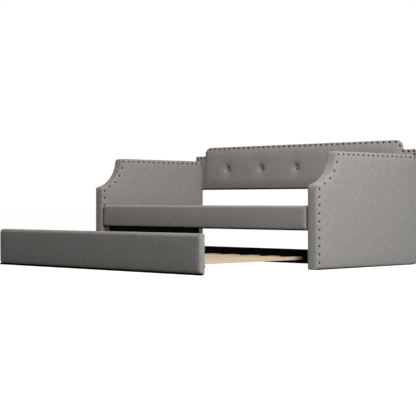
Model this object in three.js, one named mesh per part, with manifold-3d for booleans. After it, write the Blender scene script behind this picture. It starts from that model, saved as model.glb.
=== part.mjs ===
// Trundle bed: an upholstered daybed with swooping arms, a tufted back on full-height posts,
// and a low slatted trundle on four fixed casters, drawn here rolled out in front.
//
// Millimetres. +X to the right as seen from the front, +Y to the back, +Z up.
// The origin is on the floor, at the middle of the bed with its trundle rolled out.

import * as THREE from 'three';
import { mergeVertices } from 'three/addons/utils/BufferGeometryUtils.js';
import ManifoldModule from 'manifold-3d';

const wasm = await ManifoldModule();
wasm.setup();

// ---------------------------------------------------------------- driving dimensions

const INNER_LENGTH = 1940; // between the two arms
const ARM = { thickness: 88, depth: 1038, topHeight: 742, edge: 14, foot: 4 };
const SWOOP = { centreDepth: -20, centreHeight: 742, radius: 212, corner: 24 };
const BACK = {
  thickness: 22, half: 1052, postInner: 988, bottom: 520, shoulder: 781, top: 846,
  raisedHalf: 943, corner: 55, edge: 6, foamBehind: 3,
};
const BUTTON = { count: 5, pitch: 347, height: 675, radius: 15, pocket: 18, sunk: 6 };
const PADDING = 10; // foam and fabric round the wooden cores
const GAP = 0.3; // between pieces that touch

const RAIL = { bottom: 245, frontTop: 400, backTop: 364, thickness: 40, edge: 14, endGap: 4, endFold: 14 };
const BED_SLAT_TOP = 370;
const BED_LEDGER_HALF = 920;
const LEDGER = { depth: 22, height: 16 };
const SLAT = { count: 10, width: 72, thickness: 18, pitch: 181 };

const ROLLED_OUT = 925; // from flush under the front rail
const TRUNDLE_FRONT = { bottom: 4, top: 242, half: 963, thickness: 42, edge: 10 };
const TRUNDLE_BACK = { bottom: 32, top: 122, half: 948, thickness: 15, innerDepth: 992 };
const TRUNDLE_SLAT_TOP = 75;
const TRUNDLE_LEDGER_HALF = 940;

const WHEEL = { radius: 13, width: 12, bore: 2.7, tread: 2 };
const CASTER = { plate: 2.5, plateWidth: 30, plateDepth: 15, ear: 2, earRadius: 5.5, span: 14, axle: 2.4 };
const CASTER_X = { front: 800, back: 915 };
const BACK_CASTER_SETBACK = 5; // behind the back rail's inner face

const BRACKET = { leg: 38, metal: 2.5, height: 90, frontBottom: 280, backBottom: 226 };
const DUST_CLOTH = { thickness: 1.2, front: 69, back: 993, bottom: 12, top: 330 };
const GLIDE = { radius: 18, fromFront: 67, fromBack: 60 };

// ---------------------------------------------------------------- derived places

const ARM_INNER = INNER_LENGTH / 2;
const ARM_OUTER = ARM_INNER + ARM.thickness;
const ARM_FRONT = (ROLLED_OUT - ARM.depth - BACK.thickness) / 2;
const ARM_BACK = ARM_FRONT + ARM.depth;
const BACK_FACE = ARM_BACK + BACK.thickness;
const TRUNDLE_FACE = ARM_FRONT - ROLLED_OUT;
const TRUNDLE_FRONT_REAR = TRUNDLE_FACE + TRUNDLE_FRONT.thickness;
const TRUNDLE_BACK_INNER = TRUNDLE_FRONT_REAR + TRUNDLE_BACK.innerDepth;

// ---------------------------------------------------------------- materials

function material(color, roughness, metalness = 0) {
  return new THREE.MeshStandardMaterial({ color, roughness, metalness });
}

const fabric = material(0x85827d, 0.9);
const blackCloth = material(0x0c0c0d, 0.95);
const coreWood = material(0xb7986c, 0.8);
const slatWood = material(0xd9bf9b, 0.65);
const blackWood = material(0x121213, 0.7);
const steel = material(0x8d9094, 0.4, 0.9);
const blackPlastic = material(0x161616, 0.5);
const wheelRubber = material(0x1d1d1f, 0.8);

// ---------------------------------------------------------------- geometry helpers

function toSolid(geometry) {
  const bare = geometry.index ? geometry.toNonIndexed() : geometry.clone();
  bare.deleteAttribute('normal');
  bare.deleteAttribute('uv');
  const merged = mergeVertices(bare, 1e-3);
  return new wasm.Manifold(new wasm.Mesh({
    numProp: 3,
    vertProperties: new Float32Array(merged.attributes.position.array),
    triVerts: new Uint32Array(merged.index.array),
  }));
}

function toGeometry(solid) {
  const mesh = solid.getMesh();
  const geometry = new THREE.BufferGeometry();
  geometry.setAttribute('position', new THREE.BufferAttribute(mesh.vertProperties, 3));
  geometry.setIndex(new THREE.BufferAttribute(mesh.triVerts, 1));
  geometry.computeVertexNormals();
  return geometry;
}

// A box between two corners.
function boxBetween(low, high) {
  const size = high.map((value, axis) => value - low[axis]);
  const geometry = new THREE.BoxGeometry(...size);
  return geometry.translate(...high.map((value, axis) => (value + low[axis]) / 2));
}

// Extrudes an outline drawn in (Y, Z) along +X, from x = 0 to x = length, with rounded edges.
function extrudeAlongX(outline, length, edge = 0, curveSegments = 6) {
  const geometry = extruded(outline, length, edge, curveSegments);
  const yzx = new THREE.Matrix4().makeBasis(
    new THREE.Vector3(0, 1, 0),
    new THREE.Vector3(0, 0, 1),
    new THREE.Vector3(1, 0, 0),
  );
  return geometry.applyMatrix4(yzx);
}

// Extrudes an outline drawn in (X, Z) from y = back towards the front, with rounded edges.
function extrudeForward(outline, back, depth, edge = 0, curveSegments = 6) {
  const geometry = extruded(outline, depth, edge, curveSegments);
  return geometry.rotateX(Math.PI / 2).translate(0, back, 0);
}

// Extrudes an outline along +Z from z = 0 to z = length. The rounded edges stay inside it.
function extruded(outline, length, edge, curveSegments) {
  const shape = new THREE.Shape(distinctPoints(outline.getPoints(curveSegments)));
  shape.holes = outline.holes;
  const geometry = new THREE.ExtrudeGeometry(shape, {
    depth: length - 2 * edge,
    bevelEnabled: edge > 0,
    bevelThickness: edge,
    bevelSize: edge,
    bevelOffset: -edge,
    bevelSegments: 3,
    curveSegments,
  });
  return geometry.translate(0, 0, edge);
}

// Where an arc meets a line both give the same point, and only one of them is kept.
function distinctPoints(points) {
  const last = points.length - 1;
  return points.filter((point, index) => {
    const previous = points[index === 0 ? last : index - 1];
    return point.distanceTo(previous) > 1e-3;
  });
}

function rectangle(left, bottom, right, top, Kind = THREE.Shape) {
  const outline = new Kind();
  outline.moveTo(left, bottom);
  outline.lineTo(right, bottom);
  outline.lineTo(right, top);
  outline.lineTo(left, top);
  outline.closePath();
  return outline;
}

function roundedRectangle(left, bottom, right, top, radius) {
  const outline = new THREE.Shape();
  outline.moveTo(left + radius, bottom);
  outline.lineTo(right - radius, bottom);
  outline.absarc(right - radius, bottom + radius, radius, -Math.PI / 2, 0);
  outline.lineTo(right, top - radius);
  outline.absarc(right - radius, top - radius, radius, 0, Math.PI / 2);
  outline.lineTo(left + radius, top);
  outline.absarc(left + radius, top - radius, radius, Math.PI / 2, Math.PI);
  outline.lineTo(left, bottom + radius);
  outline.absarc(left + radius, bottom + radius, radius, Math.PI, Math.PI * 1.5);
  return outline;
}

// Takes away everything below a height, which leaves a flat, open bottom.
function trimmedAt(solid, height) {
  const below = boxBetween([-2000, -2000, height - 500], [2000, 2000, height]);
  return solid.subtract(toSolid(below));
}

const bed = new THREE.Group();
bed.name = 'trundle_bed';

function addPart(group, name, geometry, surface) {
  const mesh = new THREE.Mesh(geometry, surface);
  mesh.name = name;
  group.add(mesh);
  return mesh;
}

// ---------------------------------------------------------------- daybed: arms

// The side view of an arm in (Y, Z): a low front, a concave swoop up to a flat top, and a
// straight back. A positive inset gives the outline of what lies that far inside the cover.
function armOutline(inset, bottom) {
  const front = ARM_FRONT + inset;
  const back = ARM_BACK - inset;
  const top = ARM.topHeight - inset;
  const centreY = ARM_FRONT + SWOOP.centreDepth;
  const radius = SWOOP.radius + inset;
  const startAngle = -Math.acos((front + SWOOP.corner - centreY) / radius);
  const endAngle = Math.asin((top - SWOOP.corner - SWOOP.centreHeight) / radius);
  const arcEndY = centreY + radius * Math.cos(endAngle);
  const lipHeight = SWOOP.centreHeight - Math.sqrt(radius ** 2 - (front - centreY) ** 2);

  const outline = new THREE.Shape();
  outline.moveTo(front, bottom);
  outline.lineTo(back, bottom);
  outline.lineTo(back, top - SWOOP.corner);
  outline.quadraticCurveTo(back, top, back - SWOOP.corner, top);
  outline.lineTo(arcEndY + SWOOP.corner, top);
  outline.quadraticCurveTo(arcEndY, top, arcEndY, top - SWOOP.corner);
  outline.absarc(centreY, SWOOP.centreHeight, radius, endAngle, startAngle, true);
  outline.quadraticCurveTo(front, lipHeight, front, lipHeight - SWOOP.corner);
  outline.closePath();
  return outline;
}

function armCover() {
  const outer = toSolid(extrudeAlongX(armOutline(0, -ARM.edge), ARM.thickness, ARM.edge, 12));
  const hollow = extrudeAlongX(armOutline(PADDING, -ARM.edge * 2), ARM.thickness - 2 * PADDING, 0, 10);
  hollow.translate(PADDING, 0, 0);
  return toGeometry(trimmedAt(outer.subtract(toSolid(hollow)), ARM.foot));
}

function armFrame() {
  const inset = PADDING + GAP;
  const core = extrudeAlongX(armOutline(inset, ARM.foot), ARM.thickness - 2 * inset, 0, 10);
  return core.translate(inset, 0, 0);
}

function dustCloth() {
  return boxBetween(
    [0, ARM_FRONT + DUST_CLOTH.front, DUST_CLOTH.bottom],
    [DUST_CLOTH.thickness, ARM_FRONT + DUST_CLOTH.back, DUST_CLOTH.top],
  );
}

function glide() {
  const height = ARM.foot - GAP;
  const disc = new THREE.CylinderGeometry(GLIDE.radius, GLIDE.radius, height, 24);
  return disc.rotateX(Math.PI / 2).translate(0, 0, height / 2);
}

function addArms(group) {
  const coverGeometry = armCover();
  const frameGeometry = armFrame();
  for (const [side, left] of [['left', -ARM_OUTER], ['right', ARM_INNER]]) {
    addPart(group, `${side}_arm_cover`, coverGeometry, fabric).position.x = left;
    addPart(group, `${side}_arm_frame`, frameGeometry, coreWood).position.x = left;

    const clothX = side === 'left' ? -ARM_INNER + GAP : ARM_INNER - GAP - DUST_CLOTH.thickness;
    addPart(group, `${side}_arm_dust_cloth`, dustCloth(), blackCloth).position.x = clothX;

    const places = [['front', ARM_FRONT + GLIDE.fromFront], ['back', ARM_BACK - GLIDE.fromBack]];
    for (const [end, y] of places) {
      const mesh = addPart(group, `${side}_${end}_glide`, glide(), blackPlastic);
      mesh.position.set(left + ARM.thickness / 2, y, 0);
    }
  }
}

// ---------------------------------------------------------------- daybed: back panel

// The front view of the back in (X, Z): two posts down to the floor, low shoulders behind the
// arms, and a raised middle with round corners.
function backOutline(inset, bottom) {
  const outer = BACK.half - inset;
  const raised = BACK.raisedHalf - inset;
  const shoulder = BACK.shoulder - inset;
  const top = BACK.top - inset;
  const inner = BACK.postInner + inset;
  const underside = BACK.bottom + inset;
  const corner = BACK.corner - inset;

  const outline = new THREE.Shape();
  outline.moveTo(-outer, bottom);
  outline.lineTo(-inner, bottom);
  outline.lineTo(-inner, underside);
  outline.lineTo(inner, underside);
  outline.lineTo(inner, bottom);
  outline.lineTo(outer, bottom);
  outline.lineTo(outer, shoulder);
  outline.lineTo(raised, shoulder);
  outline.lineTo(raised, top - corner);
  outline.absarc(raised - corner, top - corner, corner, 0, Math.PI / 2);
  outline.lineTo(corner - raised, top);
  outline.absarc(corner - raised, top - corner, corner, Math.PI / 2, Math.PI);
  outline.lineTo(-raised, shoulder);
  outline.lineTo(-outer, shoulder);
  outline.closePath();
  return outline;
}

function buttonPlaces() {
  const middle = (BUTTON.count - 1) / 2;
  return Array.from({ length: BUTTON.count }, (_, index) => (index - middle) * BUTTON.pitch);
}

// The cover is thicker in front of the board than behind it.
function backCover() {
  const shape = backOutline(0, -BACK.edge);
  const outer = toSolid(extrudeForward(shape, BACK_FACE, BACK.thickness, BACK.edge, 8));
  const hollowDepth = BACK.thickness - BACK.foamBehind - PADDING;
  const hollowShape = backOutline(PADDING, -BACK.edge * 2);
  const hollow = extrudeForward(hollowShape, BACK_FACE - BACK.foamBehind, hollowDepth, 0, 8);
  let cover = outer.subtract(toSolid(hollow));
  const pocketDepth = BUTTON.sunk + GAP;
  for (const x of buttonPlaces()) {
    const pocket = new THREE.CylinderGeometry(BUTTON.pocket, BUTTON.pocket, pocketDepth * 2, 20);
    cover = cover.subtract(toSolid(pocket.translate(x, ARM_BACK, BUTTON.height)));
  }
  return toGeometry(trimmedAt(cover, ARM.foot));
}

function backFrame() {
  const outline = backOutline(PADDING + GAP, ARM.foot);
  const depth = BACK.thickness - BACK.foamBehind - PADDING - 2 * GAP;
  return extrudeForward(outline, BACK_FACE - BACK.foamBehind - GAP, depth, 0, 8);
}

// A covered button: a low dome whose flat back sits on the bottom of its pocket.
function tuftButton() {
  const profile = [
    new THREE.Vector2(0, 0),
    new THREE.Vector2(BUTTON.radius * 0.8, 0),
    new THREE.Vector2(BUTTON.radius, 1.5),
    new THREE.Vector2(BUTTON.radius * 0.85, 3.5),
    new THREE.Vector2(BUTTON.radius * 0.5, 5),
    new THREE.Vector2(0, 5.6),
  ];
  return new THREE.LatheGeometry(profile, 20).rotateX(Math.PI);
}

function addBack(group) {
  addPart(group, 'back_panel_cover', backCover(), fabric);
  addPart(group, 'back_panel_frame', backFrame(), coreWood);
  buttonPlaces().forEach((x, index) => {
    const button = addPart(group, `tuft_button_${index + 1}`, tuftButton(), fabric);
    button.position.set(x, ARM_BACK + BUTTON.sunk, BUTTON.height);
  });
}

// ---------------------------------------------------------------- daybed: rails and slats

const RAIL_HALF = ARM_INNER - RAIL.endGap;

// A padded sleeve round a wooden rail, between the arms, with its front face at y = frontY.
// The rail stops short of the sleeve's ends, where the fabric folds in over it.
function addRail(group, end, frontY, top) {
  const backY = frontY + RAIL.thickness;
  const sleeve = roundedRectangle(frontY, RAIL.bottom, backY, top, RAIL.edge);
  sleeve.holes.push(rectangle(
    frontY + PADDING, RAIL.bottom + PADDING, backY - PADDING, top - PADDING, THREE.Path,
  ));
  const cover = extrudeAlongX(sleeve, 2 * RAIL_HALF, 0, 4).translate(-RAIL_HALF, 0, 0);
  addPart(group, `${end}_rail_cover`, cover, fabric);

  const inset = PADDING + GAP;
  const coreHalf = RAIL_HALF - RAIL.endFold;
  const core = boxBetween(
    [-coreHalf, frontY + inset, RAIL.bottom + inset],
    [coreHalf, backY - inset, top - inset],
  );
  addPart(group, `${end}_rail_core`, core, coreWood);
}

// An angle bracket in the corner between a rail and an arm: one leg on each.
function railBracket(xDirection, yDirection) {
  const outline = new THREE.Shape();
  outline.moveTo(0, 0);
  outline.lineTo(BRACKET.leg, 0);
  outline.lineTo(BRACKET.leg, BRACKET.metal);
  outline.lineTo(BRACKET.metal, BRACKET.metal);
  outline.lineTo(BRACKET.metal, BRACKET.leg);
  outline.lineTo(0, BRACKET.leg);
  outline.closePath();
  const turns = { '1,1': 0, '-1,1': 1, '-1,-1': 2, '1,-1': 3 };
  const angle = turns[`${xDirection},${yDirection}`] * Math.PI / 2;
  const settings = { depth: BRACKET.height, bevelEnabled: false };
  return new THREE.ExtrudeGeometry(outline, settings).rotateZ(angle);
}

function addBrackets(group, frontRailRear, backRailFront) {
  for (const [side, direction] of [['left', 1], ['right', -1]]) {
    const x = -direction * (ARM_INNER - 2 * GAP - DUST_CLOTH.thickness);
    const front = railBracket(direction, 1);
    addPart(group, `front_${side}_rail_bracket`, front, steel)
      .position.set(x, frontRailRear + GAP, BRACKET.frontBottom);
    const back = railBracket(direction, -1);
    addPart(group, `back_${side}_rail_bracket`, back, steel)
      .position.set(x, backRailFront - GAP, BRACKET.backBottom);
  }
}

function slatPlaces() {
  const middle = (SLAT.count - 1) / 2;
  return Array.from({ length: SLAT.count }, (_, index) => (index - middle) * SLAT.pitch);
}

// Slats from front to back, side by side, on a ledger at each end.
function addSlatDeck(group, names, front, back, top, ledgerHalf, ledgerWood) {
  const slatBottom = top - SLAT.thickness;
  const ledgerTop = slatBottom - GAP;
  const ledgers = [['front', front + GAP], ['back', back - GAP - LEDGER.depth]];
  for (const [end, y] of ledgers) {
    const ledger = boxBetween(
      [-ledgerHalf, y, ledgerTop - LEDGER.height],
      [ledgerHalf, y + LEDGER.depth, ledgerTop],
    );
    addPart(group, `${names}_${end}_ledger`, ledger, ledgerWood);
  }
  slatPlaces().forEach((x, index) => {
    const slat = boxBetween(
      [x - SLAT.width / 2, front + 2, slatBottom],
      [x + SLAT.width / 2, back - 2, top],
    );
    const number = String(index + 1).padStart(2, '0');
    addPart(group, `${names}_slat_${number}`, slat, slatWood);
  });
}

// The back rail is lower than the slats, so that a mattress reaches over it to the back panel.
function addDeck(group) {
  const frontRailRear = ARM_FRONT + RAIL.thickness;
  const backRailFront = ARM_BACK - RAIL.thickness;
  addRail(group, 'front', ARM_FRONT, RAIL.frontTop);
  addRail(group, 'back', backRailFront, RAIL.backTop);
  addBrackets(group, frontRailRear, backRailFront);
  addSlatDeck(
    group, 'bed', frontRailRear, backRailFront, BED_SLAT_TOP, BED_LEDGER_HALF, coreWood,
  );
}

// ---------------------------------------------------------------- trundle

// The front panel: a padded tray, open at the rear, over a wooden board.
function addTrundleFront(group) {
  const { bottom, top, half, thickness, edge } = TRUNDLE_FRONT;
  const outline = roundedRectangle(-half, bottom, half, top, edge + 2);
  const outer = toSolid(extrudeForward(outline, TRUNDLE_FRONT_REAR, thickness, edge, 4));
  const trayLow = [-half + PADDING, TRUNDLE_FACE + PADDING, bottom + PADDING];
  const trayHigh = [half - PADDING, TRUNDLE_FRONT_REAR + PADDING, top - PADDING];
  const tray = outer.subtract(toSolid(boxBetween(trayLow, trayHigh)));
  addPart(group, 'trundle_front_cover', toGeometry(tray), fabric);

  const core = boxBetween(
    trayLow.map((value) => value + GAP),
    [trayHigh[0] - GAP, TRUNDLE_FRONT_REAR, trayHigh[2] - GAP],
  );
  addPart(group, 'trundle_front_core', core, coreWood);
}

function addTrundleBack(group) {
  const rail = boxBetween(
    [-TRUNDLE_BACK.half, TRUNDLE_BACK_INNER, TRUNDLE_BACK.bottom],
    [TRUNDLE_BACK.half, TRUNDLE_BACK_INNER + TRUNDLE_BACK.thickness, TRUNDLE_BACK.top],
  );
  addPart(group, 'trundle_back_rail', rail, blackWood);
}

// A fixed caster's bracket, centred over its wheel: a plate under what it carries, and two
// tapering ears joined by the axle, which runs along X at the wheel's height.
function casterBracket(top) {
  const { plate, plateWidth, plateDepth, ear, earRadius, span, axle } = CASTER;
  const earShape = new THREE.Shape();
  earShape.moveTo(-plateDepth / 2, top - plate);
  earShape.lineTo(-earRadius, WHEEL.radius);
  earShape.absarc(0, WHEEL.radius, earRadius, Math.PI, 2 * Math.PI);
  earShape.lineTo(plateDepth / 2, top - plate);
  earShape.lineTo(plateDepth / 2, top);
  earShape.lineTo(-plateDepth / 2, top);
  earShape.closePath();

  const mountingPlate = boxBetween(
    [-plateWidth / 2, -plateDepth / 2, top - plate],
    [plateWidth / 2, plateDepth / 2, top],
  );
  const pin = new THREE.CylinderGeometry(axle, axle, span, 16);
  pin.rotateZ(Math.PI / 2).translate(0, 0, WHEEL.radius);

  let bracket = toSolid(mountingPlate).add(toSolid(pin));
  for (const x of [-span / 2 - ear, span / 2]) {
    bracket = bracket.add(toSolid(extrudeAlongX(earShape, ear, 0, 6).translate(x, 0, 0)));
  }
  return toGeometry(bracket);
}

// A wheel with rounded treads and a bore that clears its axle, centred on the origin.
function casterWheel() {
  const { radius, width, bore, tread } = WHEEL;
  const half = width / 2;
  const profile = [
    new THREE.Vector2(bore, -half),
    new THREE.Vector2(radius - tread, -half),
    new THREE.Vector2(radius - tread * 0.3, -half + tread * 0.3),
    new THREE.Vector2(radius, -half + tread),
    new THREE.Vector2(radius, half - tread),
    new THREE.Vector2(radius - tread * 0.3, half - tread * 0.3),
    new THREE.Vector2(radius - tread, half),
    new THREE.Vector2(bore, half),
    new THREE.Vector2(bore, -half),
  ];
  return new THREE.LatheGeometry(profile, 32).rotateZ(-Math.PI / 2);
}

// Two casters under the front ledger and two under the back rail.
function addCasters(group) {
  const ledgerBottom = TRUNDLE_SLAT_TOP - SLAT.thickness - GAP - LEDGER.height;
  const rows = [
    ['front', TRUNDLE_FRONT_REAR + GAP + LEDGER.depth - CASTER.plateDepth / 2, ledgerBottom],
    ['back', TRUNDLE_BACK_INNER + BACK_CASTER_SETBACK, TRUNDLE_BACK.bottom],
  ];
  for (const [end, y, underside] of rows) {
    for (const [side, x] of [['left', -CASTER_X[end]], ['right', CASTER_X[end]]]) {
      addPart(group, `${end}_${side}_caster_bracket`, casterBracket(underside - GAP), steel)
        .position.set(x, y, 0);
      addPart(group, `${end}_${side}_caster_wheel`, casterWheel(), wheelRubber)
        .position.set(x, y, WHEEL.radius);
    }
  }
}

function addTrundleDeck(group) {
  addSlatDeck(
    group, 'trundle', TRUNDLE_FRONT_REAR, TRUNDLE_BACK_INNER,
    TRUNDLE_SLAT_TOP, TRUNDLE_LEDGER_HALF, blackWood,
  );
}

// ---------------------------------------------------------------- assembly

const daybed = new THREE.Group();
addArms(daybed);
addBack(daybed);
addDeck(daybed);

const trundle = new THREE.Group();
addTrundleFront(trundle);
addTrundleBack(trundle);
addTrundleDeck(trundle);
addCasters(trundle);

bed.add(daybed, trundle);

export default bed;
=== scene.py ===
"""Looks for the trundle bed: padded linen covers, nailheads, tufted buttons, pine slats and casters,
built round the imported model. Metres throughout, in the frame of the CAD part."""

import bmesh
import bpy
import math
import numpy as np
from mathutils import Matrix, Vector, noise


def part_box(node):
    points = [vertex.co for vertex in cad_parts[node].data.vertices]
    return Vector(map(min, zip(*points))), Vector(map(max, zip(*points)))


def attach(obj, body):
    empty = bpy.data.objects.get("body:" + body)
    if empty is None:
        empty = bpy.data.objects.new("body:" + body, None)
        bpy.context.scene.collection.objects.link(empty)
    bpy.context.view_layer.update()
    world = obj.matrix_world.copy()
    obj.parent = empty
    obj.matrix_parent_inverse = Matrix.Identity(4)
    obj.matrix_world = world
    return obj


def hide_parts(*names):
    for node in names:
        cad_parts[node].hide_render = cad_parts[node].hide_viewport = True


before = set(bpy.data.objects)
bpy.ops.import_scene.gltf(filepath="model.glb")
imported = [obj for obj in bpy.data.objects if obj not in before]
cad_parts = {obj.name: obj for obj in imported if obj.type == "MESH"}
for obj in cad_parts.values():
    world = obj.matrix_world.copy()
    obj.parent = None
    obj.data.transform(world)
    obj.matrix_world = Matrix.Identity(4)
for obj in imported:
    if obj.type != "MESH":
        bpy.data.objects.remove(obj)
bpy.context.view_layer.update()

# ------------------------------------------------------------------ sizes, from the frame

ARM_LOW, ARM_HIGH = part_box("right_arm_cover")
BACK_LOW, BACK_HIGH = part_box("back_panel_cover")
RAIL_LOW, RAIL_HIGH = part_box("front_rail_cover")
BACK_RAIL_LOW, BACK_RAIL_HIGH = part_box("back_rail_cover")
FRONT_LOW, FRONT_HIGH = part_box("trundle_front_cover")

ARM_FRONT = ARM_LOW.y
SWOOP_CENTRE = (ARM_FRONT - 0.020, 0.742)
SWOOP_RADIUS = 0.212
ARM_CORNER = 0.024
ARM_EDGE = 0.019
ARM_FRONT_EDGE = 0.029
ARM_FOOT = 0.0015

SHOULDER_HEIGHT = 0.781
RAISED_HALF = 0.943
RAISED_CORNER = 0.055
RISER_FILLET = 0.012
PANEL_BOTTOM = 0.525
POST_INNER = 0.989
BACK_EDGE = 0.0065
BACK_CROWN = 0.014
CROWN_REACH = 0.075

RAIL_FRONT_EDGE = 0.0200
TRUNDLE_FRONT_EDGE = 0.0290
REAR_EDGE = 0.0100
END_EDGE = 0.0210
REAR_END_EDGE = 0.0060
VOXEL = 0.006
SIMULATED_FRAMES = 20

# Fabric is held within these distances of a nail or a button, and swells by at most these amounts.
HELD_BY_NAIL = 0.007
HELD_BY_BUTTON = 0.014
ARM_SWELL = 0.0045
BACK_SWELL = 0.009
FRONT_SWELL = 0.005
BACK_RAIL_SWELL = 0.004

ARM_NAIL_RADIUS = 0.0077
BACK_NAIL_RADIUS = 0.0093
NAIL_HEIGHT = 0.0046
NAIL_INSET = 0.015
FRONT_NAIL_INSET = 0.0245
NAIL_PITCH = 0.0508
FRONT_NAILS = 10
LOWEST_NAIL = 0.0467
SWOOP_NAILS = 4
TOP_NAILS = 17
TOP_NAIL_PITCH = 0.0509
TOP_NAIL_START = 0.2098
TOP_NAIL_DROP = 0.0197
BACK_NAILS = 36
BACK_NAIL_DROP = 0.0132
SHOULDER_NAILS = 3
SHOULDER_NAIL_PITCH = 0.046
NAIL_DENT = 0.0042
NAIL_DENT_RADIUS = 0.013

BUTTON_RADIUS = 0.0130
TUFT_DEPTH = 0.0228
TUFT_FLOOR = 0.011
TUFT_RADIUS = 0.019


# ------------------------------------------------------------------ node helpers

class Nodes:
    """A material's node tree, with short calls to add and wire its nodes."""

    def __init__(self, name):
        self.material = bpy.data.materials.new(name)
        self.material.use_nodes = True
        self.tree = self.material.node_tree
        self.shader = self.tree.nodes["Principled BSDF"]
        self.place = self.add("ShaderNodeTexCoord").outputs["Object"]
        self.normal = self.tree.nodes["Texture Coordinate"].outputs["Normal"]

    def add(self, kind, **settings):
        node = self.tree.nodes.new(kind)
        for key, value in settings.items():
            setattr(node, key, value)
        return node

    def wire(self, value, socket):
        if hasattr(value, "is_linked"):
            self.tree.links.new(value, socket)
        else:
            socket.default_value = value

    def math(self, operation, a, b=0.0):
        node = self.add("ShaderNodeMath", operation=operation)
        self.wire(a, node.inputs[0])
        self.wire(b, node.inputs[1])
        return node.outputs[0]

    def split(self, vector):
        node = self.add("ShaderNodeSeparateXYZ")
        self.wire(vector, node.inputs[0])
        return node.outputs

    def stretched(self, scale, offset=(0, 0, 0)):
        node = self.add("ShaderNodeMapping")
        self.wire(self.place, node.inputs["Vector"])
        node.inputs["Scale"].default_value = scale
        node.inputs["Location"].default_value = offset
        return node.outputs[0]

    def noise(self, vector, scale, detail=3.0, roughness=0.55):
        node = self.add("ShaderNodeTexNoise")
        self.wire(vector, node.inputs["Vector"])
        node.inputs["Scale"].default_value = scale
        node.inputs["Detail"].default_value = detail
        node.inputs["Roughness"].default_value = roughness
        return node.outputs["Fac"]

    def ramp(self, factor, *stops):
        node = self.add("ShaderNodeValToRGB")
        self.wire(factor, node.inputs[0])
        elements = node.color_ramp.elements
        while len(elements) < len(stops):
            elements.new(0.5)
        for element, (position, colour) in zip(elements, stops):
            element.position = position
            element.color = (*colour, 1.0) if len(colour) == 3 else colour
        return node.outputs[0]

    def mix(self, factor, a, b, blend="MIX"):
        node = self.add("ShaderNodeMix", data_type="RGBA", blend_type=blend)
        self.wire(factor, node.inputs[0])
        for value, socket in ((a, node.inputs[6]), (b, node.inputs[7])):
            self.wire((*value, 1.0) if isinstance(value, tuple) else value, socket)
        return node.outputs[2]

    def range(self, value, low, high):
        node = self.add("ShaderNodeMapRange")
        self.wire(value, node.inputs[0])
        node.inputs[3].default_value = low
        node.inputs[4].default_value = high
        return node.outputs[0]

    def bump(self, height, strength, distance, before=None):
        node = self.add("ShaderNodeBump")
        node.inputs["Strength"].default_value = strength
        node.inputs["Distance"].default_value = distance
        self.wire(height, node.inputs["Height"])
        if before is not None:
            self.wire(before, node.inputs["Normal"])
        return node.outputs[0]

    def finish(self, colour, roughness, normal=None, **constants):
        self.wire((*colour, 1.0) if isinstance(colour, tuple) else colour, self.shader.inputs["Base Color"])
        self.wire(roughness, self.shader.inputs["Roughness"])
        if normal is not None:
            self.wire(normal, self.shader.inputs["Normal"])
        for key, value in constants.items():
            self.shader.inputs[key.replace("_", " ")].default_value = value
        return self.material


def plain_weave(nodes, pitch):
    """Over-and-under threads on whichever plane the surface faces, from 0 to 1."""
    waves = [
        nodes.math("SINE", nodes.math("MULTIPLY", part, math.pi / pitch))
        for part in nodes.split(nodes.place)
    ]
    facing = [
        nodes.math("POWER", nodes.math("ABSOLUTE", part), 4.0)
        for part in nodes.split(nodes.normal)
    ]
    total = 0.0
    for axis in range(3):
        a, b = (waves[k] for k in range(3) if k != axis)
        crossing = nodes.math("MULTIPLY", a, b)
        total = nodes.math("ADD", nodes.math("MULTIPLY", crossing, facing[axis]), total)
    return nodes.range(nodes.math("ADD", total, 1.0), 0.0, 0.5)


def linen(name, tint):
    """Grey linen: a plain weave, slubs along both thread directions and a soft mottle."""
    nodes = Nodes(name)
    weave = plain_weave(nodes, 0.0017)
    upright = nodes.noise(nodes.stretched((420, 420, 26)), 1.0, 2.0)
    level = nodes.noise(nodes.stretched((26, 26, 420)), 1.0, 2.0)
    slubs = nodes.math("MULTIPLY", nodes.math("ADD", upright, level), 0.5)
    mottle = nodes.noise(nodes.place, 34.0, 4.0, 0.6)
    dark = tuple(0.80 * c for c in tint)
    light = tuple(1.20 * c for c in tint)
    threads = nodes.ramp(slubs, (0.36, dark), (0.64, light))
    worn = nodes.mix(0.35, threads, nodes.ramp(mottle, (0.35, dark), (0.68, light)))
    shaded = nodes.mix(nodes.range(weave, 0.0, 0.30), worn, tuple(0.72 * c for c in tint))
    height = nodes.math("ADD", nodes.math("MULTIPLY", weave, 0.7), slubs)
    normal = nodes.bump(height, 0.35, 0.0006)
    return nodes.finish(
        shaded, 0.92, normal, Sheen_Weight=0.12, Sheen_Roughness=0.5, Specular_IOR_Level=0.22,
    )


def non_woven(name):
    # Also worn by the black strips under the arms, the back panel, the rails and the trundle front, which
    # paint the shade under their lower edges.
    """Black dust cloth: pressed fibres with a fine dimple pattern."""
    nodes = Nodes(name)
    fibres = nodes.noise(nodes.place, 900.0, 4.0, 0.7)
    dimples = plain_weave(nodes, 0.0022)
    colour = nodes.ramp(fibres, (0.3, (0.0020, 0.0020, 0.0022)), (0.75, (0.0055, 0.0055, 0.0058)))
    height = nodes.math("ADD", fibres, nodes.math("MULTIPLY", dimples, 0.5))
    return nodes.finish(colour, 0.95, nodes.bump(height, 0.3, 0.0004), Specular_IOR_Level=0.05)


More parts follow.
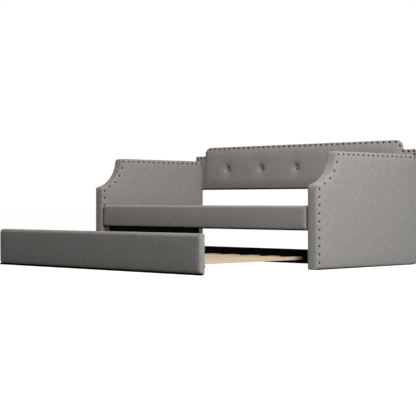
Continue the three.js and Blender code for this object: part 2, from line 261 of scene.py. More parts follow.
def timber(name, pale, dark, along):
    """Planed softwood: grain bands stretched along one axis, fine pores and an odd knot."""
    nodes = Nodes(name)
    stretch = [46.0, 46.0, 46.0]
    stretch[along] = 1.6
    band = nodes.noise(nodes.stretched(tuple(stretch)), 1.0, 5.0, 0.6)
    rings = nodes.math("SINE", nodes.math("MULTIPLY", band, 60.0))
    fine = [900.0, 900.0, 900.0]
    fine[along] = 22.0
    pores = nodes.noise(nodes.stretched(tuple(fine)), 1.0, 3.0, 0.6)
    board = nodes.noise(nodes.stretched((5.2, 0.4, 3.0)), 1.0, 1.0)
    grain = nodes.math("ADD", nodes.range(rings, 0.0, 0.30), nodes.math("MULTIPLY", band, 0.7))
    colour = nodes.ramp(grain, (0.22, pale), (0.85, dark))
    aged = nodes.mix(nodes.range(pores, 0.0, 0.45), colour, tuple(0.72 * c for c in dark))
    toned = nodes.mix(nodes.range(board, 0.0, 0.5), aged, tuple(1.12 * c for c in pale))
    knots = nodes.add("ShaderNodeTexVoronoi")
    shape = [9.0, 9.0, 9.0]
    shape[along] = 3.4
    nodes.wire(nodes.stretched(tuple(shape)), knots.inputs["Vector"])
    knot = nodes.ramp(knots.outputs["Distance"], (0.03, (1, 1, 1)), (0.085, (0, 0, 0)))
    knotted = nodes.mix(knot, toned, (0.20, 0.10, 0.045))
    height = nodes.math("ADD", nodes.math("MULTIPLY", pores, 0.6), grain)
    return nodes.finish(knotted, nodes.range(pores, 0.55, 0.75), nodes.bump(height, 0.18, 0.0005))


def painted(name, colour, roughness, grain=(60.0, 60.0, 60.0), gloss=0.4):
    """A thin coat of paint, with the surface under it just showing."""
    nodes = Nodes(name)
    under = nodes.noise(nodes.stretched(grain), 1.0, 4.0, 0.6)
    peel = nodes.noise(nodes.place, 520.0, 2.0)
    tone = nodes.ramp(under, (0.3, tuple(0.8 * c for c in colour)), (0.75, tuple(1.35 * c for c in colour)))
    height = nodes.math("ADD", under, nodes.math("MULTIPLY", peel, 0.4))
    rough = nodes.range(peel, roughness - 0.08, roughness + 0.08)
    return nodes.finish(tone, rough, nodes.bump(height, 0.15, 0.0004), Specular_IOR_Level=gloss)


def antique_metal(name):
    """Nailheads: dark pewter, worn brighter in patches."""
    nodes = Nodes(name)
    patches = nodes.noise(nodes.place, 260.0, 3.0, 0.6)
    tone = nodes.ramp(patches, (0.35, (0.020, 0.018, 0.016)), (0.75, (0.075, 0.070, 0.064)))
    return nodes.finish(
        tone, nodes.range(patches, 0.34, 0.55), nodes.bump(patches, 0.2, 0.0003), Metallic=0.7,
    )


def moulded(name, colour, roughness):
    """Rubber or plastic: a fine moulded grain and a little handling dust."""
    nodes = Nodes(name)
    grain = nodes.noise(nodes.place, 1400.0, 2.0)
    dust = nodes.noise(nodes.place, 46.0, 4.0, 0.65)
    tone = nodes.ramp(dust, (0.4, colour), (0.85, tuple(2.2 * c + 0.004 for c in colour)))
    rough = nodes.range(dust, roughness - 0.06, roughness + 0.1)
    return nodes.finish(tone, rough, nodes.bump(grain, 0.2, 0.0003))


LINEN_TINT = (0.224, 0.2195, 0.2070)

materials = {
    "linen": linen("linen", LINEN_TINT),
    "button_linen": linen("button_linen", tuple(0.92 * c for c in LINEN_TINT)),
    "dust_cloth": non_woven("dust_cloth"),
    "pine": timber("pine", (0.550, 0.449, 0.338), (0.395, 0.274, 0.168), along=1),
    "core_timber": timber("core_timber", (0.56, 0.42, 0.28), (0.40, 0.26, 0.15), along=0),
    "black_paint": painted("black_paint", (0.0026, 0.0026, 0.0028), 0.60, (2.0, 80.0, 80.0), 0.05),
    "powder_coat": painted("powder_coat", (0.035, 0.035, 0.037), 0.45),
    "nailhead": antique_metal("nailhead"),
    "black_plastic": moulded("black_plastic", (0.016, 0.016, 0.017), 0.5),
    "tread_rubber": moulded("tread_rubber", (0.018, 0.018, 0.019), 0.75),
    "hub_plastic": moulded("hub_plastic", (0.11, 0.11, 0.115), 0.4),
}


# ------------------------------------------------------------------ mesh helpers

def new_object(name, vertices, faces, material):
    mesh = bpy.data.meshes.new(name)
    mesh.from_pydata([tuple(v) for v in vertices], [], [tuple(f) for f in faces])
    mesh.materials.append(material)
    mesh.update()
    made = bpy.data.objects.new(name, mesh)
    bpy.context.scene.collection.objects.link(made)
    return made


def smooth_shaded(piece):
    piece.data.shade_smooth()
    return piece


def ring_faces(rings, count, base=0):
    """Faces between rings of vertices, with count vertices in a ring and the first one at base."""
    faces = []
    for ring in range(rings - 1):
        for k in range(count):
            a, b = base + ring * count + k, base + ring * count + (k + 1) % count
            faces.append((a, b, b + count, a + count))
    return faces


def end_faces(rings, count):
    """One flat face over the first ring and one over the last."""
    return [tuple(range(count))[::-1], tuple((rings - 1) * count + k for k in range(count))]


def turned_outward(piece, merge=0.0):
    """Turns a closed mesh's faces to look outwards, after joining points closer than merge."""
    made = bmesh.new()
    made.from_mesh(piece.data)
    if merge:
        bmesh.ops.remove_doubles(made, verts=made.verts, dist=merge)
    bmesh.ops.recalc_face_normals(made, faces=made.faces)
    made.to_mesh(piece.data)
    made.free()
    return piece


def arc(centre, radius, start, end, count):
    """Points on a circle, from a start angle to an end angle in degrees."""
    angles = np.radians(np.linspace(start, end, count))
    return [(centre[0] + radius * math.cos(a), centre[1] + radius * math.sin(a)) for a in angles]


def bend(first, corner, last, count=7):
    """A soft corner: a quadratic curve from first to last, pulled towards corner."""
    first, corner, last = (np.array(p) for p in (first, corner, last))
    steps = np.linspace(0, 1, count)
    return [tuple((1 - t) ** 2 * first + 2 * t * (1 - t) * corner + t * t * last) for t in steps]


def distinct(points):
    kept = []
    for point in points:
        if not kept or math.dist(point, kept[-1]) > 1e-5:
            kept.append(point)
    if math.dist(kept[0], kept[-1]) < 1e-5:
        kept.pop()
    return kept


def inset_outline(outline, distance):
    """Moves an anticlockwise outline inwards, by one distance or by one for each point."""
    points = np.array(outline)
    ahead = np.roll(points, -1, 0) - points
    ahead /= np.linalg.norm(ahead, axis=1)[:, None]
    normal = np.stack([-ahead[:, 1], ahead[:, 0]], 1)
    before = np.roll(normal, 1, 0)
    share = 1 + (normal * before).sum(1)
    return points + np.reshape(distance, (-1, 1)) * (normal + before) / share[:, None]


def slab(name, outline, low, high, edge, to_space, material, edge_steps=5, far_edge=None):
    """A padded board: an outline with thickness from low to high and round edges.
    to_space turns (u, v, w) columns into the frame's x, y, z. An edge is a radius, or a function
    that gives one for each outline point. far_edge is for the high side, where it differs."""
    outline = distinct(outline)
    count = len(outline)
    near, far = (
        np.array([radius(point) if callable(radius) else radius for point in outline])
        for radius in (edge, far_edge or edge)
    )
    turns = np.linspace(0, math.pi / 2, edge_steps + 1)
    rings = [(near * (1 - math.sin(a)), low + near * (1 - math.cos(a))) for a in turns]
    rings += [(far * (1 - math.sin(a)), high - far * (1 - math.cos(a))) for a in reversed(turns)]
    vertices = np.concatenate([
        np.column_stack([inset_outline(outline, inset), w]) for inset, w in rings
    ])
    faces = ring_faces(len(rings), count) + end_faces(len(rings), count)
    return turned_outward(new_object(name, to_space(vertices), faces, material))


def along_x(points):
    """(u, v, w) as (y, z, x): an outline seen from the side."""
    return points[:, [2, 0, 1]]


def along_y(points):
    """(u, v, w) as (x, z, y): an outline seen from the front."""
    return points[:, [0, 2, 1]]


def applied(piece):
    """Bakes a piece's modifiers into its mesh."""
    graph = bpy.context.evaluated_depsgraph_get()
    mesh = bpy.data.meshes.new_from_object(piece.evaluated_get(graph))
    old = piece.data
    piece.modifiers.clear()
    piece.data = mesh
    bpy.data.meshes.remove(old)
    return piece


def remeshed(piece, voxel=VOXEL, smoothing=3):
    remesh = piece.modifiers.new("even", "REMESH")
    remesh.mode = "VOXEL"
    remesh.voxel_size = voxel
    remesh.adaptivity = 0.0
    smooth = piece.modifiers.new("soft", "SMOOTH")
    smooth.factor = 0.5
    smooth.iterations = smoothing
    return smooth_shaded(applied(piece))


def coordinates(piece):
    values = np.empty(len(piece.data.vertices) * 3)
    piece.data.vertices.foreach_get("co", values)
    return values.reshape(-1, 3)


def normals(piece):
    values = np.empty(len(piece.data.vertices) * 3, np.float32)
    piece.data.vertex_normals.foreach_get("vector", values)
    return values.reshape(-1, 3).astype(float)


def set_coordinates(piece, points):
    piece.data.vertices.foreach_set("co", np.ascontiguousarray(points, np.float32).ravel())
    piece.data.update()


def inflated(piece, held, most, pressure=4.0):
    """Blows the fabric out from the points that hold it, by at most a set distance."""
    start = coordinates(piece)
    group = piece.vertex_groups.new(name="held")
    for index in np.flatnonzero(held):
        group.add([int(index)], 1.0, "REPLACE")
    cloth = piece.modifiers.new("cloth", "CLOTH")
    settings = cloth.settings
    settings.quality = 4
    settings.mass = 0.3
    settings.tension_stiffness = 12
    settings.compression_stiffness = 8
    settings.shear_stiffness = 6
    settings.bending_stiffness = 1.2
    settings.use_pressure = True
    settings.uniform_pressure_force = pressure
    settings.vertex_group_mass = "held"
    settings.effector_weights.gravity = 0.0
    cloth.collision_settings.use_collision = False
    cloth.collision_settings.use_self_collision = False
    cloth.point_cache.frame_start = 1
    cloth.point_cache.frame_end = SIMULATED_FRAMES
    scene = bpy.context.scene
    for step in range(1, SIMULATED_FRAMES + 1):
        scene.frame_set(step)
    applied(piece)
    scene.frame_set(1)
    moved = coordinates(piece) - start
    length = np.linalg.norm(moved, axis=1)
    allowed = most * np.tanh(length / most)
    moved *= (allowed / np.maximum(length, 1e-9))[:, None]
    set_coordinates(piece, start + moved)
    piece.vertex_groups.clear()
    return smooth_shaded(piece)


def ripple(points, scale, seed):
    """Smooth noise from -1 to 1 at each point."""
    shift = Vector((seed * 3.7, seed * 1.3, seed * 2.1))
    return np.array([noise.noise(Vector(p) * scale + shift) for p in points])


def relaxed(piece, depth, scale, seed):
    """The slight unevenness of fabric pulled over foam."""
    points = coordinates(piece)
    set_coordinates(piece, points + normals(piece) * (depth * ripple(points, scale, seed))[:, None])
    return piece


def dented(piece, centres, inward, depth, radius, reach=4.0):
    """Pulls the fabric in at each centre, along a direction, on the side that faces away from it."""
    points, facing = coordinates(piece), normals(piece)
    inward = np.array(inward, float)
    shown = np.clip(-(facing @ inward) * 1.6, 0, 1)
    pull = np.zeros(len(points))
    for centre in centres:
        gap = points - np.array(centre)
        gap -= np.outer(gap @ inward, inward)
        distance = np.linalg.norm(gap, axis=1)
        near = (distance < reach * radius) & (np.abs((points - centre) @ inward) < 0.04)
        pull[near] = np.maximum(pull[near], depth * np.exp(-(distance[near] / radius) ** 2))
    set_coordinates(piece, points + np.outer(pull * shown, inward))
    return piece


# ------------------------------------------------------------------ outlines

def arm_outline():
    """The arm from the side, anticlockwise in (y, z)."""
    back, top, foot = ARM_HIGH.y, ARM_HIGH.z, ARM_FOOT
    centre_y, centre_z = SWOOP_CENTRE
    start = -math.degrees(math.acos((ARM_FRONT + ARM_CORNER - centre_y) / SWOOP_RADIUS))
    end = math.degrees(math.asin((top - ARM_CORNER - centre_z) / SWOOP_RADIUS))
    arc_top_y = centre_y + SWOOP_RADIUS * math.cos(math.radians(end))
    lip = centre_z - math.sqrt(SWOOP_RADIUS ** 2 - (ARM_FRONT - centre_y) ** 2)
    swoop = arc(SWOOP_CENTRE, SWOOP_RADIUS, end, start, 22)
    return [
        (ARM_FRONT, foot),
        (back, foot),
        *bend((back, top - ARM_CORNER), (back, top), (back - ARM_CORNER, top)),
        *bend((arc_top_y + ARM_CORNER, top), (arc_top_y, top), (arc_top_y, top - ARM_CORNER)),
        *swoop,
        *bend(swoop[-1], (ARM_FRONT, lip), (ARM_FRONT, lip - ARM_CORNER)),
    ]


def raised_edge(inset=0.0):
    """The back panel's upper edge in (x, z), from its right shoulder's end to its left one."""
    top = BACK_HIGH.z - inset
    shoulder = SHOULDER_HEIGHT - inset
    outer = BACK_HIGH.x - inset
    raised = RAISED_HALF - inset
    corner = RAISED_CORNER - inset
    fillet = RISER_FILLET + inset
    right = [
        (outer, shoulder),
        *bend((raised + fillet, shoulder), (raised, shoulder), (raised, shoulder + fillet)),
        *arc((raised - corner, top - corner), corner, 0, 90, 12),
    ]
    return right + [(-x, z) for x, z in reversed(right)]


def back_outline():
    """The back panel and its two posts from the front, anticlockwise in (x, z)."""
    foot = BACK_LOW.z
    outer = BACK_HIGH.x
    return [
        (outer, foot),
        *raised_edge(),
        (-outer, foot),
        (-POST_INNER, foot),
        (-POST_INNER, PANEL_BOTTOM),
        (POST_INNER, PANEL_BOTTOM),
        (POST_INNER, foot),
    ]


def rectangle(left, bottom, right, top):
    return [(left, bottom), (right, bottom), (right, top), (left, top)]


# ------------------------------------------------------------------ nailheads

def arm_nail_places():
    """Where nails go on an arm's side, in (y, z): up the front, round the swoop, along the top."""
    column = [(ARM_FRONT + FRONT_NAIL_INSET, LOWEST_NAIL + NAIL_PITCH * k) for k in range(FRONT_NAILS)]
    swoop = arc(SWOOP_CENTRE, SWOOP_RADIUS + NAIL_INSET, -65.5, -17.6, SWOOP_NAILS)
    first, height = ARM_FRONT + TOP_NAIL_START, ARM_HIGH.z - TOP_NAIL_DROP
    top = [(first + TOP_NAIL_PITCH * k, height) for k in range(TOP_NAILS)]
    return column + swoop + top


def back_nail_places():
    """Where nails go on the back panel's face, in (x, z): under its upper edge, end to end."""
    middle = (BACK_NAILS - 1) / 2
    row = [((k - middle) * NAIL_PITCH, BACK_HIGH.z - BACK_NAIL_DROP) for k in range(BACK_NAILS)]
    corner = (RAISED_HALF - 0.016, SHOULDER_HEIGHT + 0.025)
    shoulder = [
        (RAISED_HALF + 0.004 + SHOULDER_NAIL_PITCH * k, SHOULDER_HEIGHT - 0.0115 - 0.002 * k)
        for k in range(SHOULDER_NAILS)
    ]
    end = (BACK_HIGH.x - 0.009, SHOULDER_HEIGHT - 0.036)
    return row + [(side * x, z) for side in (1, -1) for x, z in (corner, *shoulder, end)]


def nailheads(name, places, outward, body, radius):
    """Domed heads in one piece. Each place is the middle of a head's flat underside."""
    outward = Vector(outward).normalized()
    turn = outward.to_track_quat("Z", "Y").to_matrix()
    profile = [(1.0, -0.25), (1.0, 0.10), (0.90, 0.45), (0.66, 0.78), (0.36, 0.95)]
    sides = 14
    vertices, faces = [], []
    for place in places:
        base = len(vertices)
        for share, height in profile:
            for k in range(sides):
                angle = 2 * math.pi * k / sides
                local = Vector((
                    share * radius * math.cos(angle),
                    share * radius * math.sin(angle),
                    height * NAIL_HEIGHT,
                ))
                vertices.append(turn @ local + Vector(place))
        vertices.append(turn @ Vector((0, 0, NAIL_HEIGHT)) + Vector(place))
        faces += ring_faces(len(profile), sides, base)
        last = base + (len(profile) - 1) * sides
        faces += [(last + k, last + (k + 1) % sides, len(vertices) - 1) for k in range(sides)]
        faces.append(tuple(base + k for k in reversed(range(sides))))
    piece = smooth_shaded(new_object(name, vertices, faces, materials["nailhead"]))
    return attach(piece, body)


def surface_at(piece, place, inward):
    """Where a line through a place, going inward, first meets a piece."""
    inward = Vector(inward)
    start = Vector(place) - inward * 0.05
    found, point, _, _ = piece.ray_cast(start, inward)
    return point if found else Vector(place)


# ------------------------------------------------------------------ arms

def near_any(points, centres, radius):
    close = np.zeros(len(points), bool)
    for centre in centres:
        close |= np.linalg.norm(points - np.array(centre), axis=1) < radius
    return close


def faces_open(piece, *directions):
    """Points on the flat faces that look along any of some directions, away from round edges."""
    facing = normals(piece)
    return np.any([facing @ np.array(direction) > 0.97 for direction in directions], axis=0)


def arm_cover(name):
    """The right arm's cover. Nails hold the fabric on both sides, and it swells between them."""
    low, high = ARM_LOW.x + 0.001, ARM_HIGH.x + 0.002
    piece = slab(name, arm_outline(), low, high, ARM_EDGE, along_x, materials["linen"], 5,
                 lambda point: ARM_FRONT_EDGE if point[0] < ARM_FRONT + 0.001 else ARM_EDGE)
    remeshed(piece)
    points = coordinates(piece)
    nails = arm_nail_places()
    pinned = ~faces_open(piece, (1, 0, 0), (-1, 0, 0), (0, -1, 0), (0, 0, 1))
    pinned |= points[:, 2] < 0.020
    pinned |= (points[:, 0] < low + 0.004) & (points[:, 2] < RAIL_HIGH.z + 0.010)
    for x in (low, high):
        pinned |= near_any(points, [(x, y, z) for y, z in nails], HELD_BY_NAIL)
    inflated(piece, pinned, ARM_SWELL)
    for x, inward in ((low, (1, 0, 0)), (high, (-1, 0, 0))):
        dented(piece, [(x, y, z) for y, z in nails], inward, NAIL_DENT, NAIL_DENT_RADIUS)
    return piece


def mirrored(piece, name):
    """A copy on the other side of the bed."""
    copy = piece.copy()
    copy.data = piece.data.copy()
    copy.name = name
    bpy.context.scene.collection.objects.link(copy)
    set_coordinates(copy, coordinates(copy) * np.array([-1, 1, 1]))
    copy.data.flip_normals()
    return copy


def covered(piece, node, body):
    """Puts a padded cover on its body and hides the CAD cover that it stands for."""
    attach(piece, body)
    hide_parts(node)
    return piece


def arm_nails(cover, side, direction):
    for face, outward in (("outer", direction), ("inner", -direction)):
        x = direction * (ARM_HIGH.x if face == "outer" else ARM_LOW.x)
        inward = (-outward, 0, 0)
        places = [surface_at(cover, (x, y, z), inward) for y, z in arm_nail_places()]
        nailheads(f"{side}_arm_{face}_nails", places, (outward, 0, 0), "daybed", ARM_NAIL_RADIUS)


def build_arms():
    right = arm_cover("right_arm_upholstery")
    left = mirrored(right, "left_arm_upholstery")
    for cover, side, direction in ((right, "right", 1), (left, "left", -1)):
        relaxed(cover, 0.0007, 9.0, 2 + direction)
        bpy.context.view_layer.update()
        arm_nails(cover, side, direction)
        covered(cover, f"{side}_arm_cover", "daybed")
        # A black strip under the arm: a base cloth, and painted shade along the arm's lower edge.
        bottom_shade_strip(f"{side}_arm_bottom_trim", direction)
        arm_dust_cloth(side, direction)


def bottom_shade_strip(name, direction):
    """Black base cloth that closes the bottom of an arm, reaching down to the floor so that it also paints
    the shade under the arm's lower edge.
    """
    margin = 0.008
    outline = rectangle(
        ARM_LOW.x + margin, ARM_LOW.y + margin, ARM_HIGH.x - margin, ARM_HIGH.y - margin,
    )
    outline = [(direction * x, y) for x, y in outline]
    piece = slab(name, outline if direction > 0 else outline[::-1], 0.0010, 0.0135, 0.002,
                 lambda p: p, materials["dust_cloth"], 2)
    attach(smooth_shaded(piece), "daybed")


def cloth_grid(name, corner, across, up, columns, rows, lift, seed, material):
    """A thin cloth stretched flat, with slight waves lifted along a direction."""
    corner, across, up, lift = (Vector(v) for v in (corner, across, up, lift))
    vertices = []
    for row in range(rows + 1):
        for column in range(columns + 1):
            place = corner + across * (column / columns) + up * (row / rows)
            edge = min(column, columns - column, row, rows - row)
            wave = noise.noise(place * 7.0 + Vector((seed, 0, 0))) * min(1.0, edge / 3)
            vertices.append(place + lift * (0.5 + 0.5 * wave))
    width = columns + 1
    faces = [
        (row * width + column, row * width + column + 1,
         (row + 1) * width + column + 1, (row + 1) * width + column)
        for row in range(rows) for column in range(columns)
    ]
    piece = new_object(name, vertices, faces, material)
    thickness = piece.modifiers.new("thickness", "SOLIDIFY")
    thickness.thickness = 0.0005
    thickness.offset = 1.0
    return smooth_shaded(applied(piece))


def arm_dust_cloth(side, direction):
    low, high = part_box(f"{side}_arm_dust_cloth")
    x = high.x if direction > 0 else low.x
    piece = cloth_grid(
        f"{side}_arm_dust_cloth_sheet", (x, low.y, low.z), (0, high.y - low.y, 0),
        (0, 0, high.z - low.z), 60, 20, (-direction * 0.0028, 0, 0), direction * 5,
        materials["dust_cloth"],
    )
    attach(piece, "daybed")
    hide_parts(f"{side}_arm_dust_cloth")


# ------------------------------------------------------------------ back panel

def button_places():
    return [(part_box(f"tuft_button_{k}")[0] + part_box(f"tuft_button_{k}")[1]) / 2 for k in range(1, 6)]


def crowned(piece):
    """Thick foam: the panel's face stands out, and falls back towards its edges."""
    points, facing = coordinates(piece), normals(piece)
    x, z = np.abs(points[:, 0]), points[:, 2]
    border = np.minimum.reduce([BACK_HIGH.z - z, z - PANEL_BOTTOM, RAISED_HALF + 0.010 - x])
    rise = np.clip(border / CROWN_REACH, 0, 1)
    front = np.clip(-facing[:, 1] * 1.6, 0, 1)
    points[:, 1] -= BACK_CROWN * front * np.sin(rise * math.pi / 2)
    set_coordinates(piece, points)
    return piece


def tufted(piece, centres):
    """Deep round pulls, flat under each button, with short creases running out of them."""
    points, facing = coordinates(piece), normals(piece)
    front = np.clip(-facing[:, 1] * 1.6, 0, 1)
    pull = np.zeros(len(points))
    for number, centre in enumerate(centres):
        dx, dz = points[:, 0] - centre.x, points[:, 2] - centre.z
        distance = np.hypot(dx, dz)
        near = (distance < 0.14) & (points[:, 1] < BACK_LOW.y + 0.015)
        angle = np.arctan2(dz, dx)
        slope = np.maximum(distance - TUFT_FLOOR, 0) / TUFT_RADIUS
        bowl = TUFT_DEPTH / (1 + slope ** 2) ** 1.7
        crease = 0.5 + 0.5 * np.cos(6 * angle + 0.7 * number + 1.4 * np.sin(angle + number))
        fade = np.exp(-((distance - 0.032) / 0.022) ** 2)
        pull = np.where(near, np.maximum(pull, bowl + 0.0026 * crease ** 3 * fade), pull)
    points[:, 1] += pull * front
    set_coordinates(piece, points)
    return piece


def build_back():
    low, high = BACK_LOW.y + 0.0005, BACK_HIGH.y - 0.0005
    piece = slab("back_panel_upholstery", back_outline(), low, high, BACK_EDGE, along_y, materials["linen"])
    remeshed(piece, smoothing=2)
    points = coordinates(piece)
    nails = [(x, low, z) for x, z in back_nail_places()]
    centres = button_places()
    pinned = ~faces_open(piece, (0, -1, 0)) | (points[:, 2] < PANEL_BOTTOM + 0.006)
    pinned |= near_any(points, nails, HELD_BY_NAIL)
    pinned |= near_any(points, [(c.x, low, c.z) for c in centres], HELD_BY_BUTTON)
    inflated(piece, pinned, BACK_SWELL)
    crowned(piece)
    dented(piece, nails, (0, 1, 0), NAIL_DENT, NAIL_DENT_RADIUS)
    tufted(piece, centres)
    relaxed(piece, 0.0007, 8.0, 5)
    bpy.context.view_layer.update()
    places = [surface_at(piece, place, (0, 1, 0)) for place in nails]
    nailheads("back_panel_nails", places, (0, -1, 0), "daybed", BACK_NAIL_RADIUS)
    for number, centre in enumerate(centres, 1):
        covered_button(piece, number, centre)
    covered(piece, "back_panel_cover", "daybed")
    # A black strip under the back panel: its black backing cloth, and painted shade along its lower edge.
    low_edge_shade_strip("back_panel_bottom_trim", (POST_INNER - 0.004, BACK_LOW.y + 0.004),
                  BACK_HIGH.y - 0.003, PANEL_BOTTOM - 0.0075, PANEL_BOTTOM + 0.006)


def low_edge_shade_strip(name, near_corner, back, low, high):
    """A black strip along a lower edge, as painted shade under that edge; under the back panel it is also
    the black backing cloth, turned under and stapled.
    """
    half, front = near_corner
    shade_strip = slab(name, rectangle(-half, front, half, back), low, high, 0.0015, lambda p: p,
                materials["dust_cloth"], 2)
    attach(smooth_shaded(shade_strip), "daybed")


def covered_button(panel, number, centre):
    """A fabric-covered button, sunk in its tuft."""
    seat = surface_at(panel, centre, (0, 1, 0))
    profile = [
        (0.0, -0.0005), (0.80, -0.0005), (1.0, 0.0010), (1.02, 0.0026), (0.94, 0.0044),
        (0.76, 0.0060), (0.50, 0.0071), (0.24, 0.0077), (0.0, 0.0079),
    ]
    sides = 28
    vertices = []
    for radius, height in profile:
        for k in range(sides):
            angle = 2 * math.pi * k / sides
            fold = 1 + 0.012 * math.cos(9 * angle + number)
            vertices.append((
                seat.x + BUTTON_RADIUS * radius * fold * math.cos(angle),
                seat.y - height,
                seat.z + BUTTON_RADIUS * radius * fold * math.sin(angle),
            ))
    piece = new_object(f"tuft_button_{number}_covered", vertices, ring_faces(len(profile), sides),
                       materials["button_linen"])
    turned_outward(piece, merge=1e-5)
    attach(smooth_shaded(piece), "daybed")
    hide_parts(f"tuft_button_{number}")


# ------------------------------------------------------------------ rails and trundle front

def padded_board(name, node, low, high, front_edge, swell, seed, body):
    """A long board, padded all round, whose front face crowns between its edges."""
    outline = rectangle(low.y, low.z, high.y, high.z)
    inward = ((1, 1), (-1, 1), (-1, -1), (1, -1))
    rounded = []
    for quarter, ((y, z), (dy, dz)) in enumerate(zip(outline, inward)):
        edge = front_edge if dy > 0 else REAR_EDGE
        start = 180 + 90 * quarter
        rounded += arc((y + dy * edge, z + dz * edge), edge, start, start + 90, 7)

    def end_edge(point):
        """Soft where the front turns into the end, and tight at the rear, where fabric folds over."""
        share = min(1.0, (point[0] - low.y) / front_edge)
        return END_EDGE + (REAR_END_EDGE - END_EDGE) * share

    piece = slab(name, rounded, low.x, high.x, end_edge, along_x, materials["linen"])
    remeshed(piece)
    inflated(piece, ~faces_open(piece, (0, -1, 0)), swell)
    relaxed(piece, 0.0008, 7.0, seed)
    points = coordinates(piece)
    points[points[:, 1] > high.y - 0.0015, 1] = high.y
    set_coordinates(piece, points)
    return covered(piece, node, body)


def fitted(low, high):
    """A board cover's box: a little inside the CAD box, but just past its rear face."""
    margin, rear = 0.0005, 0.0002
    return low + Vector((margin, margin, margin)), high + Vector((-margin, rear, -margin))


def build_boards():
    padded_board("front_rail_upholstery", "front_rail_cover", *fitted(RAIL_LOW, RAIL_HIGH),
                 RAIL_FRONT_EDGE, FRONT_SWELL, 11, "daybed")
    padded_board("back_rail_upholstery", "back_rail_cover", *fitted(BACK_RAIL_LOW, BACK_RAIL_HIGH),
                 RAIL_FRONT_EDGE, BACK_RAIL_SWELL, 12, "daybed")
    padded_board("trundle_front_upholstery", "trundle_front_cover", *fitted(FRONT_LOW, FRONT_HIGH),
                 TRUNDLE_FRONT_EDGE, FRONT_SWELL, 13, "trundle")
    # Black strips under the two rails: painted shade along their lower edges.
    for end, low, high in (("front", RAIL_LOW, RAIL_HIGH), ("back", BACK_RAIL_LOW, BACK_RAIL_HIGH)):
        low_edge_shade_strip(f"{end}_rail_bottom_trim", (high.x - 0.012, low.y + 0.006), high.y - 0.004,
                      low.z - 0.0015, low.z + 0.0085)
    trundle_shade_strip_and_lining()


def trundle_shade_strip_and_lining():
    """A black strip under the trundle's front panel, as painted shade along its bottom edge, and a black
    lining on its rear face.
    """
    margin = 0.006
    outline = rectangle(
        FRONT_LOW.x + margin, FRONT_LOW.y + margin, FRONT_HIGH.x - margin, FRONT_HIGH.y - margin,
    )
    # Painted shade: a black strip along the panel's bottom edge, where the shade under it falls.
    shade_strip = slab("trundle_front_bottom_trim", outline, 0.0005, 0.0125, 0.002, lambda p: p,
                materials["dust_cloth"], 2)
    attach(smooth_shaded(shade_strip), "trundle")

    slat_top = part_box("trundle_slat_01")[1].z
    bottom, top, half = slat_top + 0.004, FRONT_HIGH.z - 0.022, FRONT_HIGH.x - 0.022
    lining = cloth_grid(
        "trundle_front_rear_lining", (-half, FRONT_HIGH.y + 0.0004, bottom), (2 * half, 0, 0),
        (0, 0, top - bottom), 90, 8, (0, 0.0020, 0), 31, materials["dust_cloth"],
    )
    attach(lining, "trundle")


# ------------------------------------------------------------------ wood and metal from the CAD

def dress(node, material, edge=0.0):
    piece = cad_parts[node]
    piece.data.materials.clear()
    piece.data.materials.append(materials[material])
    if edge:
        bevel = piece.modifiers.new("eased edges", "BEVEL")
        bevel.width = edge
        bevel.segments = 3
        bevel.limit_method = "ANGLE"
        bevel.angle_limit = math.radians(40)
        bevel.harden_normals = True
    return piece


def build_frame_finishes():
    for deck in ("bed", "trundle"):
        for number in range(1, 11):
            dress(f"{deck}_slat_{number:02d}", "pine", 0.0022)
        ledger = "core_timber" if deck == "bed" else "black_paint"
        for end in ("front", "back"):
            dress(f"{deck}_{end}_ledger", ledger, 0.0015)
    for side in ("left", "right"):
        dress(f"{side}_arm_frame", "core_timber")
        for end in ("front", "back"):
            dress(f"{side}_{end}_glide", "black_plastic", 0.0012)
            dress(f"{end}_{side}_rail_bracket", "powder_coat", 0.0006)
            dress(f"{end}_{side}_caster_bracket", "powder_coat", 0.0006)
            dress(f"{end}_{side}_caster_wheel", "tread_rubber")
            wheel_hubs(end, side)
    for node in ("back_panel_frame", "front_rail_core", "back_rail_core", "trundle_front_core"):
        dress(node, "core_timber")
    dress("trundle_back_rail", "black_paint", 0.0018)


def disc(name, centre, axis_x, profile, sides, material, body):
    """A turned piece on an axis along X. The profile is (radius, height outwards)."""
    vertices = []
    for radius, height in profile:
        for k in range(sides):
            angle = 2 * math.pi * k / sides
            vertices.append((
                centre.x + axis_x * height,
                centre.y + radius * math.cos(angle),
                centre.z + radius * math.sin(angle),
            ))
    faces = ring_faces(len(profile), sides) + end_faces(len(profile), sides)
    piece = turned_outward(new_object(name, vertices, faces, materials[material]))
    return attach(smooth_shaded(piece), body)


def wheel_hubs(end, side):
    """A plastic hub disc on each face of a caster wheel."""
    node = f"{end}_{side}_caster_wheel"
    low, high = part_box(node)
    middle = (low + high) / 2
    profile = [(0.0082, -0.0003), (0.0082, 0.0004), (0.0076, 0.0007), (0.0050, 0.0008), (0.0042, 0.0009)]
    for face, direction in (("inner", -1), ("outer", 1)):
        x = high.x if direction > 0 else low.x
        disc(f"{end}_{side}_wheel_{face}_hub", Vector((x, middle.y, middle.z)), direction,
             profile, 28, "hub_plastic", node)


# ------------------------------------------------------------------ floor, light, camera

def build_stage():
    size = 60.0
    floor = new_object(
        "floor", [(-size, -size, 0), (size, -size, 0), (size, size, 0), (-size, size, 0)], [(0, 1, 2, 3)],
        floor_material(),
    )


def floor_material():
    """Pale grey to the light that falls on it, and near white to the camera."""
    nodes = Nodes("pale_floor")
    grain = nodes.noise(nodes.place, 3.0, 2.0)
    nodes.finish(nodes.ramp(grain, (0.3, (0.30, 0.30, 0.30)), (0.7, (0.32, 0.32, 0.32))), 0.95)
    rays = nodes.add("ShaderNodeLightPath").outputs["Is Camera Ray"]
    nodes.shader.inputs["Emission Color"].default_value = (1, 1, 1, 1)
    nodes.wire(nodes.math("MULTIPLY", rays, FLOOR_GLOW), nodes.shader.inputs["Emission Strength"])
    return nodes.material


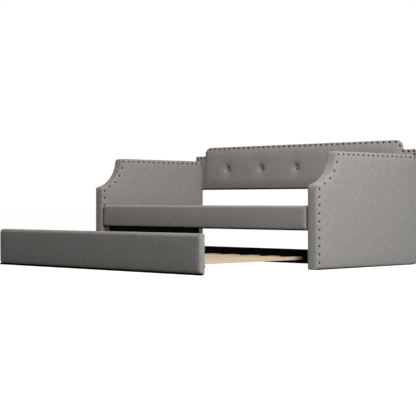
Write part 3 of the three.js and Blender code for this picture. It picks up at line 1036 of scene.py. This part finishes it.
def build_world():
    """White to the camera, and a dimmer even light on the bed."""
    world = bpy.data.worlds.new("studio")
    world.use_nodes = True
    tree = world.node_tree
    background = tree.nodes["Background"]
    background.inputs["Color"].default_value = (1, 1, 1, 1)
    rays = tree.nodes.new("ShaderNodeLightPath").outputs["Is Camera Ray"]
    strength = tree.nodes.new("ShaderNodeMapRange")
    strength.inputs["To Min"].default_value = AMBIENT
    strength.inputs["To Max"].default_value = 1.0
    tree.links.new(rays, strength.inputs["Value"])
    tree.links.new(strength.outputs[0], background.inputs["Strength"])
    bpy.context.scene.world = world


def area_light(name, place, target, size, power, colour=(1, 1, 1)):
    data = bpy.data.lights.new(name, "AREA")
    data.shape = "RECTANGLE"
    data.size, data.size_y = size
    data.energy = power
    data.color = colour
    lamp = bpy.data.objects.new(name, data)
    bpy.context.scene.collection.objects.link(lamp)
    lamp.location = place
    lamp.rotation_euler = (Vector(target) - Vector(place)).to_track_quat("-Z", "Y").to_euler()
    return lamp


def build_camera():
    data = bpy.data.cameras.new("camera")
    data.lens = CAMERA_LENS
    data.sensor_width = 36.0
    data.clip_end = 200.0
    camera = bpy.data.objects.new("camera", data)
    bpy.context.scene.collection.objects.link(camera)
    camera.location = CAMERA_PLACE
    camera.rotation_euler = (math.radians(90 - CAMERA_TILT), 0, math.radians(CAMERA_TURN))
    bpy.context.scene.camera = camera


CAMERA_PLACE = (6.1020, -6.1291, 0.4160)
CAMERA_TURN = 44.662
CAMERA_TILT = 0.229
CAMERA_LENS = 110.34
AMBIENT = 0.23
FLOOR_GLOW = 0.9

build_arms()
build_back()
build_boards()
build_frame_finishes()
build_stage()
build_world()
area_light("key", (5.2, -1.6, 2.6), (0.0, 0.0, 0.4), (2.4, 2.0), 272)
area_light("right_fill", (2.3, -0.40, 2.3), (0.0, 0.6, 0.4), (1.2, 1.0), 28, (1.0, 0.91, 0.87))
area_light("left_fill", (-0.4, -0.80, 2.4), (-0.6, 0.1, 0.4), (1.4, 1.0), 15, (1.0, 0.88, 0.82))
area_light("top", (0.5, 0.3, 4.5), (0.0, 0.0, 0.5), (4.0, 3.0), 72)
build_camera()
bpy.context.scene.view_settings.view_transform = "Standard"
